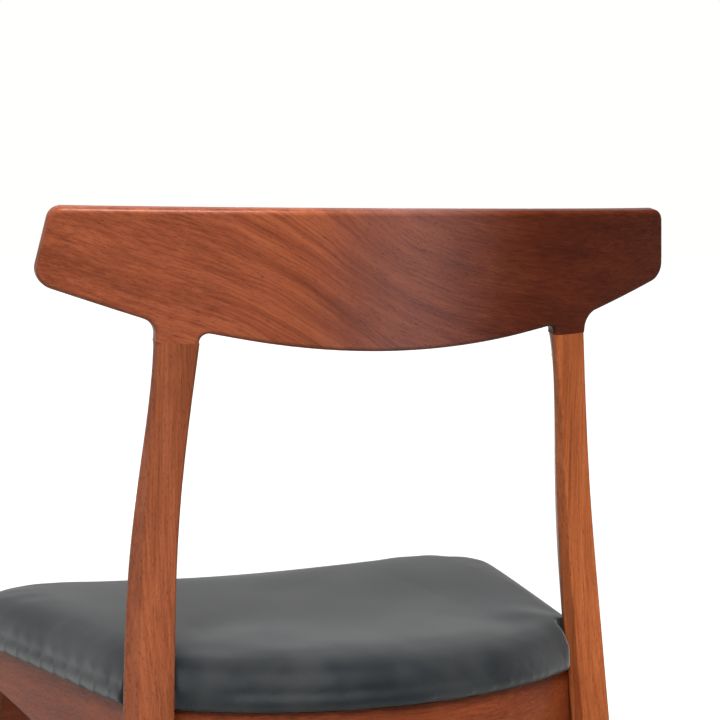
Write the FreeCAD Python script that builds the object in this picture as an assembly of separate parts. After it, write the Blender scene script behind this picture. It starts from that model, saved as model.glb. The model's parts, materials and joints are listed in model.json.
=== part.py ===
"""Dining chair: curved crest backrest, sabre rear legs, tapered front legs, leather seat pad.

Millimetres. +Z up, floor at z = 0, the sitter faces -Y, and the origin is under the middle of the chair.
Every loose piece is its own solid in its own STEP file; identical fasteners share a file.
"""
import FreeCAD, Part
import math
import os

from FreeCAD import Matrix, Vector

# ---------------------------------------------------------------- driving dimensions
OVERALL_DEPTH = 412.0         # front edge of the seat to the back of the rear feet
SEAT_BASE_HEIGHT = 425.0      # floor to the underside of the seat, which is the top of the rails

# seat pad
SEAT_WIDTH = 508.0            # between the side edges carried on to the front edge
SEAT_DEPTH = 400.0            # front edge to the middle of the bowed rear edge
SEAT_REAR_HALF = 184.5        # half width where the rear bow meets the side edges
SEAT_REAR_BOW = 265.0         # radius of the rear edge, seen from above
SEAT_FRONT_CORNER = 66.0      # radius of a front corner
SEAT_REAR_CORNER = 14.0       # radius of a rear corner
PAD_HEIGHT = 36.0             # underside of the seat to the top of the pad
PAD_SHOULDER = 19.0           # radius of the pad's upper edge
LEATHER = 1.2                 # leather thickness
HEM = 70.0                    # leather turned under the board
BOARD = 10.0                  # plywood thickness
EDGE_FOAM = 3.0               # foam wrapped round the board's edge
CLOTH = 0.6                   # dust cloth thickness
NOTCH_GAP = 2.5               # clearance round a rear leg where the pad is notched

# backrest
BACK_RECLINE = 11.5           # degrees
BACK_RADIUS = 608.0           # outer face, seen along the backrest's own upright
BACK_THICKNESS = 14.5
BACK_SETBACK = 25.0           # outer face ahead of the seat's rear edge, at the joint reference
BACK_REFERENCE_RISE = 267.7   # joint reference above the underside of the seat
BACK_TOP_MID = 75.2           # heights of the outline are along the recline, from the reference
BACK_TOP_END = 68.3
BACK_TOP_HALF = 234.0
BACK_TIP_HALF = 243.7
BACK_TIP_LOW = 16.0
BACK_WING_LOW = -6.1          # underside of the wing beside the stub
BACK_MIDDLE_SIDE = -11.2      # underside of the middle beside the stub
BACK_MIDDLE_LOW = -21.9       # lowest point of the middle
BACK_STUB_END = -19.2         # where a leg butts against the stub
BACK_CORNER = 10.0
BACK_TIP_CORNER = 13.0
BACK_STUB_OUTER = 12.0
BACK_STUB_INNER = 6.2
BACK_EDGE = 3.4               # rounding of the long edges of the outer face
BACK_FRONT_EDGE = 5.6         # rounding of the long edges towards the sitter

# rear leg: rise above the underside of the seat, x, back face behind the seat's rear edge,
# width, depth, bevel, turn in degrees
JOINT_X = 150.4               # middle of the stub
JOINT_WIDTH = 29.0
REAR_LEG = [
    (190.0, 158.9, -51.0, 30.0, 17.5, 6.0, 13.0),
    (120.0, 166.2, -53.2, 32.0, 24.0, 8.5, 11.0),
    (50.0, 171.2, -48.8, 33.8, 27.5, 10.0, 9.0),
    (-25.0, 174.8, -41.2, 34.0, 29.0, 10.0, 8.0),
    (-200.0, 184.2, -20.5, 28.5, 26.0, 8.0, 6.5),
]
REAR_FOOT = (196.0, 21.0, 21.0, 5.5, 5.0)   # x, width, depth, bevel, turn at the foot
TOP_BEVEL = 0.5               # bevel where the leg meets the stub, nearly square like the stub
LEG_BACK_ROUND = 1.6          # radius of the two back arrises
LEG_SIDE_ROUND = 4.5          # radius of the other four

# front leg
FRONT_LEG_EDGE = 1.4          # leg's outer side inside the seat's side edge
FRONT_LEG_INSET = 45.0        # leg centre behind the seat's front edge
FRONT_LEG_TOP = 42.0
FRONT_LEG_FOOT = 23.0
FRONT_LEG_KNEE = 110.0        # length of the thick part below the rails
FRONT_SPLAY_X = 18.0          # foot outboard of the top
FRONT_SPLAY_Y = 17.0          # foot ahead of the top

# rails
RAIL_THICKNESS = 21.0
RAIL_INSET = 5.0              # rail face inside the edge of the seat, sides and rear
SIDE_RAIL_REACH = 12.0        # rail carried past the seat's rear corner, into the leg
SIDE_RAIL_REAR_DEPTH = 66.0
SIDE_RAIL_WAIST_DEPTH = 45.0  # at the waist, a share of the way along
SIDE_RAIL_FRONT_DEPTH = 28.0
FRONT_RAIL_END_DEPTH = 86.0
FRONT_RAIL_MIDDLE_DEPTH = 52.0
FRONT_RAIL_SETBACK = 36.0     # rail face behind the seat's front edge
REAR_RAIL_DEPTH = 52.0
RAIL_ROUND = 5.0

# joinery and hardware
DOWEL_RADIUS = 4.0
DOWEL_LENGTH = 34.0
BACK_DOWEL_RADIUS = 3.0
BACK_DOWEL_LENGTH = 36.0
BACK_DOWEL_SPACING = 12.0
BLOCK_LEG = 62.0              # corner block along each rail
BLOCK_DEPTH = 22.0
BLOCK_TOP_GAP = 3.0           # block below the rail top
SCREW_RADIUS = 2.0
SCREW_HEAD = 4.0
SCREW_LENGTH = 34.0
SEAT_SCREW_BITE = 8.0         # thread in the seat board
GLIDE_RADIUS = 9.0
GLIDE_HEIGHT = 4.0
NAIL_RADIUS = 1.2
NAIL_LENGTH = 18.0
STAPLE_WIDTH = 10.0
STAPLE_WIRE = 0.8
STAPLE_LEG = 6.0
STAPLE_INSET = 62.0
STAPLE_PITCH = 46.0

# ---------------------------------------------------------------- places worked out from them
SEAT_FRONT_Y = -OVERALL_DEPTH / 2
SEAT_REAR_Y = SEAT_FRONT_Y + SEAT_DEPTH
SEAT_HALF = SEAT_WIDTH / 2
REAR_CORNER_Y = SEAT_REAR_Y - SEAT_REAR_BOW + math.sqrt(SEAT_REAR_BOW**2 - SEAT_REAR_HALF**2)
RECLINE = math.radians(BACK_RECLINE)
BACK_UP = Vector(0, math.sin(RECLINE), math.cos(RECLINE))
BACK_OUT = Vector(0, math.cos(RECLINE), -math.sin(RECLINE))
BACK_REFERENCE = Vector(0, SEAT_REAR_Y - BACK_SETBACK, SEAT_BASE_HEIGHT + BACK_REFERENCE_RISE)
FRONT_LEG_Y = SEAT_FRONT_Y + FRONT_LEG_INSET
FRONT_SHARE = (REAR_CORNER_Y - FRONT_LEG_Y) / (REAR_CORNER_Y - SEAT_FRONT_Y)
FRONT_EDGE_X = SEAT_REAR_HALF + (SEAT_HALF - SEAT_REAR_HALF) * FRONT_SHARE
FRONT_LEG_X = FRONT_EDGE_X - FRONT_LEG_EDGE - FRONT_LEG_TOP / 2
REACH = 900.0                 # longer than any piece, for cutting tools


# ---------------------------------------------------------------- helpers
def save(name, shape):
    """Writes one node; several solids stay separate in a compound."""
    shape.exportStep("parts/%s.step" % name)
    count = len(shape.Solids)
    print("%-24s %2d solid %10.0f mm3 valid %s" % (name, count, shape.Volume, shape.isValid()))


def mirrored(shape):
    """The same piece on the other side of the chair."""
    return shape.mirror(Vector(0, 0, 0), Vector(1, 0, 0))


def group(shapes):
    """Separate solids in one node."""
    return Part.makeCompound([s for shape in shapes for s in shape.Solids])


def rod(start, end, radius):
    """A cylinder between two points."""
    line = end - start
    return Part.makeCylinder(radius, line.Length, start, line)


def rounded_wire(points, radii, place):
    """A closed wire of straight runs and tangent corner arcs; place maps it into space."""
    count = len(points)
    edges, ends = [], []
    for i in range(count):
        before = Vector(*points[i - 1], 0)
        corner = Vector(*points[i], 0)
        after = Vector(*points[(i + 1) % count], 0)
        back = (before - corner).normalize()
        on = (after - corner).normalize()
        half = back.getAngle(on) / 2
        reach = radii[i] / math.tan(half)
        middle = (back + on).normalize() * (radii[i] / math.sin(half) - radii[i])
        ends.append((corner + back * reach, corner + middle, corner + on * reach))
    for i in range(count):
        start, middle, stop = (place(p.x, p.y) for p in ends[i])
        onward = ends[(i + 1) % count][0]
        if radii[i] > 0:
            edges.append(Part.Arc(start, middle, stop).toShape())
        edges.append(Part.LineSegment(stop, place(onward.x, onward.y)).toShape())
    return Part.Wire(edges)


def fillet_edges(solid, radius, wanted):
    """Rounds the edges that wanted() picks."""
    return solid.makeFillet(radius, [e for e in solid.Edges if wanted(e)])


def seat_edge_x(y):
    """Half width of the seat at a place along its side edge."""
    share = (REAR_CORNER_Y - y) / (REAR_CORNER_Y - SEAT_FRONT_Y)
    return SEAT_REAR_HALF + (SEAT_HALF - SEAT_REAR_HALF) * share


# ---------------------------------------------------------------- backrest
def back_point(u, v):
    """A point of the backrest's own upright plane, u across and v up the recline."""
    return BACK_REFERENCE + Vector(u, 0, 0) + BACK_UP * v


def back_face_point(u, v):
    """The same, carried on to the curved outer face."""
    drop = BACK_RADIUS - math.sqrt(BACK_RADIUS**2 - u**2)
    return back_point(u, v) - BACK_OUT * drop


def crown(half, low, end):
    """Corner and radius of a long bow that ends at (half, end) and reaches low in the middle."""
    rise = 2 * (low - end)
    half_angle = math.atan2(abs(rise), half)
    return end + rise, 0.97 * math.hypot(half, rise) / math.tan(half_angle)


def make_backrest():
    """A curved plank sawn to the crest outline, with a stub over each rear leg."""
    stub_in = JOINT_X - JOINT_WIDTH / 2
    stub_out = JOINT_X + JOINT_WIDTH / 2
    top, top_radius = crown(BACK_TOP_HALF - BACK_CORNER, BACK_TOP_MID, BACK_TOP_END)
    low, low_radius = crown(stub_in - BACK_STUB_INNER, BACK_MIDDLE_LOW, BACK_MIDDLE_SIDE)
    half = [
        (BACK_TOP_HALF, BACK_TOP_END, BACK_CORNER),
        (BACK_TIP_HALF, BACK_TIP_LOW, BACK_TIP_CORNER),
        (stub_out, BACK_WING_LOW, BACK_STUB_OUTER),
        (stub_out, BACK_STUB_END, 0),
        (stub_in, BACK_STUB_END, 0),
        (stub_in, BACK_MIDDLE_SIDE, BACK_STUB_INNER),
    ]
    corners = [(0, top, top_radius)] + half + [(0, low, low_radius * 0.9)]
    corners += [(-u, v, r) for u, v, r in reversed(half)]
    points = [(u, v) for u, v, r in corners]
    radii = [r for u, v, r in corners]
    outline = rounded_wire(points, radii, lambda u, v: back_point(u, v) - BACK_OUT * REACH / 2)
    sawn = Part.Face(outline).extrude(BACK_OUT * REACH)
    centre = BACK_REFERENCE - BACK_OUT * BACK_RADIUS - BACK_UP * REACH / 2
    shell = Part.makeCylinder(BACK_RADIUS, REACH, centre, BACK_UP)
    shell = shell.cut(Part.makeCylinder(BACK_RADIUS - BACK_THICKNESS, REACH, centre, BACK_UP))
    plank = sawn.common(shell)
    pieces = sorted(plank.Solids, key=lambda s: s.CenterOfMass.y)
    plank = pieces[-1]
    stub_level = back_point(0, BACK_STUB_END + 0.5).dot(BACK_UP)

    def long_edge(edge):
        """Edges of one broad face, apart from those round the butt joints."""
        middle = edge.valueAt((edge.FirstParameter + edge.LastParameter) / 2)
        axis_gap = (middle - centre) - BACK_UP * (middle - centre).dot(BACK_UP)
        on_face = abs(axis_gap.Length - face_radius) < 0.01
        return on_face and middle.dot(BACK_UP) > stub_level and edge.Length > 0.2

    face_radius = BACK_RADIUS
    plank = fillet_edges(plank, BACK_EDGE, long_edge)
    face_radius = BACK_RADIUS - BACK_THICKNESS
    return fillet_edges(plank, BACK_FRONT_EDGE, long_edge)


# ---------------------------------------------------------------- legs
def leg_section(centre, across, forward, width, depth, bevel,
                front=0.5, arris=LEG_BACK_ROUND, nose=LEG_SIDE_ROUND):
    """Rear leg section: flat back, bevelled outer arris, widest at half depth, narrower front."""
    points = [
        (-width / 2, 0),
        (width / 2 - bevel, 0),
        (width / 2, depth / 2),
        (width / 2 * front, depth),
        (-width / 2 * front, depth),
        (-width / 2, depth / 2),
    ]
    radii = [arris, arris, LEG_SIDE_ROUND, nose, nose, LEG_SIDE_ROUND]
    return rounded_wire(points, radii, lambda a, b: centre + across * a + forward * b)


def turned(angle):
    """Level directions across and forward for a section turned by an angle in degrees."""
    a = math.radians(angle)
    return Vector(math.cos(a), -math.sin(a), 0), Vector(-math.sin(a), -math.cos(a), 0)


def make_rear_leg():
    """A sabre leg lofted from the foot to the backrest's stub, on the +X side."""
    x, width, depth, bevel, turn = REAR_FOOT
    across, forward = turned(turn)
    back_y = OVERALL_DEPTH / 2 - (width / 2) * math.sin(math.radians(turn)) + LEG_BACK_ROUND * 0.1
    sections = [leg_section(Vector(x, back_y, GLIDE_HEIGHT), across, forward, width, depth, bevel)]
    for rise, x, setback, width, depth, bevel, turn in reversed(REAR_LEG):
        across, forward = turned(turn)
        centre = Vector(x, SEAT_REAR_Y + setback, SEAT_BASE_HEIGHT + rise)
        sections.append(leg_section(centre, across, forward, width, depth, bevel))
    # the top matches the stub: sides along the backrest's depth, faces along its curve
    turn = math.asin(JOINT_X / BACK_RADIUS)
    across = Vector(1, 0, 0) - BACK_OUT * math.tan(turn)
    top = back_face_point(JOINT_X, BACK_STUB_END)
    depth = BACK_THICKNESS / math.cos(turn)
    front = 1 - 2 * TOP_BEVEL / JOINT_WIDTH
    sections.append(leg_section(
        top, across, BACK_OUT * -1, JOINT_WIDTH, depth, TOP_BEVEL, front, BACK_EDGE, BACK_FRONT_EDGE))
    return Part.makeLoft(sections, True, False)


def front_leg_axis(rise):
    """Centre of a front leg at a height above the floor."""
    share = (SEAT_BASE_HEIGHT - rise) / (SEAT_BASE_HEIGHT - GLIDE_HEIGHT)
    return Vector(FRONT_LEG_X + FRONT_SPLAY_X * share, FRONT_LEG_Y - FRONT_SPLAY_Y * share, rise)


def make_front_leg():
    """A round leg, thick beside the rails and tapered to the foot, on the +X side."""
    knee = SEAT_BASE_HEIGHT - FRONT_LEG_KNEE
    stations = [
        (GLIDE_HEIGHT, FRONT_LEG_FOOT),
        (GLIDE_HEIGHT + (knee - GLIDE_HEIGHT) / 2, (FRONT_LEG_FOOT + FRONT_LEG_TOP) / 2),
        (knee, FRONT_LEG_TOP - 2.0),
        (SEAT_BASE_HEIGHT, FRONT_LEG_TOP),
    ]
    rings = []
    for rise, size in stations:
        rings.append(Part.Wire(Part.makeCircle(size / 2, front_leg_axis(rise), Vector(0, 0, 1))))
    leg = Part.makeLoft(rings, True, False)
    return fillet_edges(leg, 1.0, lambda e: e.BoundBox.ZMin > SEAT_BASE_HEIGHT - 0.01)


# ---------------------------------------------------------------- rails
def side_rail_ends():
    """Outer face of a side rail from the rear leg to the front leg, as two points at the rail top."""
    front_y = FRONT_LEG_Y
    rear_y = REAR_CORNER_Y + SIDE_RAIL_REACH
    return (
        Vector(seat_edge_x(rear_y) - RAIL_INSET, rear_y, SEAT_BASE_HEIGHT),
        Vector(seat_edge_x(front_y) - RAIL_INSET, front_y, SEAT_BASE_HEIGHT),
    )


def make_side_rail(legs):
    """A side rail that is deep at the rear leg and slim at the front leg, on the +X side."""
    rear, front = side_rail_ends()
    along = (front - rear).normalize()
    inward = Vector(along.y, -along.x, 0) * RAIL_THICKNESS
    length = (front - rear).Length
    under = [
        (0.0, SIDE_RAIL_REAR_DEPTH),
        (0.25, SIDE_RAIL_REAR_DEPTH * 0.92),
        (0.58, SIDE_RAIL_WAIST_DEPTH),
        (0.80, (SIDE_RAIL_FRONT_DEPTH + SIDE_RAIL_WAIST_DEPTH) / 2 - 3.5),
        (1.0, SIDE_RAIL_FRONT_DEPTH),
    ]
    low = [rear + along * length * share - Vector(0, 0, depth) for share, depth in under]
    curve = Part.BSplineCurve()
    curve.interpolate(low)
    face = Part.Face(Part.Wire([
        Part.LineSegment(rear, front).toShape(),
        Part.LineSegment(front, low[-1]).toShape(),
        curve.toShape(),
        Part.LineSegment(low[0], rear).toShape(),
    ]))
    rail = face.extrude(inward)
    rail = fillet_edges(rail, RAIL_ROUND, lambda e: e.Length > length * 0.9 and e.BoundBox.ZLength > 5)
    return largest(rail.cut(legs))


def make_front_rail(legs):
    """A straight front rail whose lower edge rises in an arch between deep ends."""
    face_y = SEAT_FRONT_Y + FRONT_RAIL_SETBACK
    top = SEAT_BASE_HEIGHT
    ends = [Vector(s * FRONT_LEG_X, face_y, top) for s in (-1, 1)]
    low = [Vector(s * FRONT_LEG_X, face_y, top - FRONT_RAIL_END_DEPTH) for s in (-1, 1)]
    arch = Part.Arc(low[1], Vector(0, face_y, top - FRONT_RAIL_MIDDLE_DEPTH), low[0]).toShape()
    face = Part.Face(Part.Wire([
        Part.LineSegment(ends[0], ends[1]).toShape(),
        Part.LineSegment(ends[1], low[1]).toShape(),
        arch,
        Part.LineSegment(low[0], ends[0]).toShape(),
    ]))
    rail = face.extrude(Vector(0, RAIL_THICKNESS, 0))
    rail = fillet_edges(rail, RAIL_ROUND, lambda e: e.Length > FRONT_LEG_X * 2 + 2)
    return largest(rail.cut(legs))


def make_rear_rail(others):
    """A rear rail bent to the bow of the seat, trimmed to the rear legs and side rails."""
    outer = SEAT_REAR_BOW - RAIL_INSET
    centre = Vector(0, SEAT_REAR_Y - SEAT_REAR_BOW, SEAT_BASE_HEIGHT - REAR_RAIL_DEPTH)
    up = Vector(0, 0, 1)
    ring = Part.makeCylinder(outer, REAR_RAIL_DEPTH, centre, up)
    ring = ring.cut(Part.makeCylinder(outer - RAIL_THICKNESS, REAR_RAIL_DEPTH, centre, up))
    reach = REAR_LEG[3][1] - REAR_LEG[3][3] / 3
    keep = Part.makeBox(2 * reach, REACH, REACH, Vector(-reach, centre.y, 0))
    rail = ring.common(keep)
    rail = fillet_edges(
        rail, RAIL_ROUND, lambda e: e.Length > reach and abs(e.BoundBox.ZMax - centre.z) < 0.01)
    return largest(rail.cut(others))


def largest(shape):
    """The main solid after a cut that trims both ends."""
    return max(shape.Solids, key=lambda s: s.Volume)


# ---------------------------------------------------------------- joinery
def rail_dowels():
    """Dowels of the +X side by rail: pairs across each butt joint, kept apart inside the legs."""
    rear, front = side_rail_ends()
    along = (front - rear).normalize()
    inward = Vector(along.y, -along.x, 0) * (RAIL_THICKNESS / 2)
    half = DOWEL_LENGTH / 2
    found = {"side": [], "front": [], "rear": []}
    rear_leg_front = rear.y - (SEAT_REAR_Y + REAR_LEG[3][2] - REAR_LEG[3][4])
    for drop in (14.0, 54.0):
        middle = rear + inward + along * max(rear_leg_front, 0) - Vector(0, 0, drop)
        found["side"].append(rod(middle - along * half, middle + along * half, DOWEL_RADIUS))
    for drop in (8.0, 20.0):
        middle = front + inward - along * (FRONT_LEG_TOP / 2) - Vector(0, 0, drop)
        found["side"].append(rod(middle - along * half, middle + along * half, DOWEL_RADIUS))
    front_y = SEAT_FRONT_Y + FRONT_RAIL_SETBACK + RAIL_THICKNESS / 2
    for drop in (34.0, 64.0):
        x = FRONT_LEG_X - FRONT_LEG_TOP / 2
        middle = Vector(x, front_y, SEAT_BASE_HEIGHT - drop)
        found["front"].append(rod(middle - Vector(half, 0, 0), middle + Vector(half, 0, 0), DOWEL_RADIUS))
    bow = SEAT_REAR_BOW - RAIL_INSET - RAIL_THICKNESS / 3
    leg_x = REAR_LEG[3][1] - REAR_LEG[3][3] / 2
    bow_turn = math.asin(leg_x / bow)
    bow_end = Vector(leg_x, SEAT_REAR_Y - SEAT_REAR_BOW + bow * math.cos(bow_turn), SEAT_BASE_HEIGHT)
    tangent = Vector(math.cos(bow_turn), -math.sin(bow_turn), 0)
    for drop in (26.0, 40.0):
        middle = bow_end - Vector(0, 0, drop)
        found["rear"].append(rod(middle - tangent * half, middle + tangent * (half - 4), DOWEL_RADIUS))
    return found


def back_dowels():
    """Two dowels up from a rear leg into the stub, on the +X side."""
    turn = math.asin(JOINT_X / BACK_RADIUS)
    across = Vector(math.cos(turn), 0, 0) - BACK_OUT * math.sin(turn)
    inward = Vector(-math.sin(turn), 0, 0) - BACK_OUT * math.cos(turn)
    middle = back_face_point(JOINT_X, BACK_STUB_END) + inward * (BACK_THICKNESS / 2)
    made = []
    for side in (-0.5, 0.5):
        at = middle + across * (side * BACK_DOWEL_SPACING)
        low = at - BACK_UP * (BACK_DOWEL_LENGTH / 2)
        made.append(rod(low, at + BACK_UP * (BACK_DOWEL_LENGTH / 2), BACK_DOWEL_RADIUS))
    return made


def corner_block(corner, along_side, along_end, others):
    """A triangular glue block in the corner of two rails; the directions run along the rails."""
    top = SEAT_BASE_HEIGHT - BLOCK_TOP_GAP
    base = Vector(corner.x, corner.y, top - BLOCK_DEPTH)
    a = base + along_side * BLOCK_LEG
    b = base + along_end * BLOCK_LEG
    spare = RAIL_THICKNESS / 2
    long_face = (a - b).normalize() * spare
    start = base - (along_side + along_end) * spare
    wire = Part.makePolygon([start, a + long_face, b - long_face, start])
    block = Part.Face(wire).extrude(Vector(0, 0, BLOCK_DEPTH))
    return largest(block.cut(others))


def block_screws(corner, along_side, along_end):
    """Two screws from the long face of a block into the rails, countersunk."""
    level = SEAT_BASE_HEIGHT - BLOCK_TOP_GAP - BLOCK_DEPTH / 2
    base = Vector(corner.x, corner.y, level)
    made = []
    for along, other in ((along_side, along_end), (along_end, along_side)):
        face = base + along * (BLOCK_LEG * 0.62) + other * (BLOCK_LEG * 0.38)
        square = along * -along.dot(other) + other
        square.normalize()
        tip = face - square * SCREW_LENGTH
        shank = rod(face - square * 1.0, tip, SCREW_RADIUS)
        head = Part.makeCone(SCREW_HEAD, SCREW_RADIUS, SCREW_HEAD, face, square * -1)
        made.append(shank.fuse(head).removeSplitter())
    return made


# ---------------------------------------------------------------- seat
def seat_prism(inset, low, high):
    """The seat's outline inside its edge by inset, as a prism with rounded corners."""
    base = SEAT_BASE_HEIGHT + low
    side = Vector(SEAT_HALF - SEAT_REAR_HALF, SEAT_FRONT_Y - REAR_CORNER_Y, 0).normalize()
    bow = SEAT_REAR_BOW - inset
    bow_centre_y = SEAT_REAR_Y - SEAT_REAR_BOW
    front_y = SEAT_FRONT_Y + inset
    inward_x = inset / -side.y
    front_x = SEAT_HALF - inward_x - (SEAT_HALF - SEAT_REAR_HALF) / (REAR_CORNER_Y - SEAT_FRONT_Y) * inset
    slope = side.x / side.y
    offset = SEAT_REAR_HALF - inward_x - slope * (REAR_CORNER_Y - bow_centre_y)
    # the side edge x = offset + slope * t meets the bow x2 + t2 = bow2, t measured from the bow's centre
    a, b, c = 1 + slope**2, 2 * slope * offset, offset**2 - bow**2
    t = (-b + math.sqrt(b * b - 4 * a * c)) / (2 * a)
    corner = Vector(offset + slope * t, bow_centre_y + t, base)
    front = Vector(front_x, front_y, base)
    other, other_front = Vector(-corner.x, corner.y, base), Vector(-front.x, front.y, base)
    outline = Part.Wire([
        Part.Arc(other, Vector(0, bow_centre_y + bow, base), corner).toShape(),
        Part.LineSegment(corner, front).toShape(),
        Part.LineSegment(front, other_front).toShape(),
        Part.LineSegment(other_front, other).toShape(),
    ])
    prism = Part.Face(outline).extrude(Vector(0, 0, high - low))
    front_radius = max(SEAT_FRONT_CORNER - inset, 6.0)
    rear_radius = max(SEAT_REAR_CORNER - inset, 2.0)
    for at_front, radius in ((True, front_radius), (False, rear_radius)):
        prism = fillet_edges(
            prism, radius,
            lambda e: e.BoundBox.ZLength > (high - low) * 0.99 and e.BoundBox.XLength < 0.01
            and (e.BoundBox.YMax < SEAT_FRONT_Y + 150) == at_front,
        )
    return prism


def pad_solid(inset, low, high, shoulder):
    """The pad's outline with a rounded upper edge."""
    prism = seat_prism(inset, low, high)
    top = SEAT_BASE_HEIGHT + high
    return fillet_edges(prism, shoulder, lambda e: abs(e.BoundBox.ZMin - top) < 0.01)


def leg_notches(gap):
    """Upright cutting tools that leave the pad clear of the rear legs."""
    upper, lower = REAR_LEG[2], REAR_LEG[3]
    share = (PAD_HEIGHT - lower[0]) / (upper[0] - lower[0])
    x, setback, width, depth, _, turn = (a + (b - a) * share for a, b in zip(lower[1:], upper[1:]))
    across, forward = turned(turn)
    inner = -width / 2 - gap
    front = depth / 2 + gap
    away = REACH / 8
    base = Vector(x, SEAT_REAR_Y + setback - depth / 2, SEAT_BASE_HEIGHT - PAD_HEIGHT)
    points = [(inner, -away), (away, -away), (away, front), (inner, front)]
    wire = rounded_wire(points, [0, 0, 0, LEG_SIDE_ROUND], lambda a, b: base + across * a + forward * b)
    tool = Part.Face(wire).extrude(Vector(0, 0, 3 * PAD_HEIGHT))
    return Part.makeCompound([tool, mirrored(tool)])


def staples():
    """U-shaped staples through the hem, all round the underside of the seat."""
    track = seat_prism(STAPLE_INSET, 0.0, 1.0)
    bottom = min(track.Faces, key=lambda f: f.CenterOfMass.z)
    wire = bottom.OuterWire
    count = int(wire.Length / STAPLE_PITCH)
    made = []
    ordered = Part.Wire(Part.sortEdges(wire.Edges)[0])
    for place in ordered.discretize(count + 1)[:-1]:
        nearest = min(ordered.Edges, key=lambda e: e.distToShape(Part.Vertex(place))[0])
        along = nearest.tangentAt(nearest.Curve.parameter(place))
        a = place - along * (STAPLE_WIDTH / 2)
        b = place + along * (STAPLE_WIDTH / 2)
        up = Vector(0, 0, 1)
        side = along.cross(up) * (STAPLE_WIRE / 2)
        thick = along * STAPLE_WIRE
        leg = up * STAPLE_LEG
        outer = [a - up * STAPLE_WIRE, b - up * STAPLE_WIRE, b + leg, b - thick + leg, b - thick]
        outer += [a + thick, a + thick + leg, a + leg, a - up * STAPLE_WIRE]
        face = Part.Face(Part.makePolygon([p - side for p in outer]))
        made.append(face.extrude(side * 2))
    return made


def make_glide(centre):
    """A turned glide and its nail under one foot."""
    disc = Part.makeCylinder(GLIDE_RADIUS, GLIDE_HEIGHT, Vector(centre.x, centre.y, 0))
    disc = fillet_edges(disc, 1.0, lambda e: e.BoundBox.ZMax < 0.01 and e.Length > GLIDE_RADIUS)
    nail = Part.makeCylinder(NAIL_RADIUS, NAIL_LENGTH, Vector(centre.x, centre.y, GLIDE_HEIGHT / 2))
    return disc.cut(nail), nail


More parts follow.
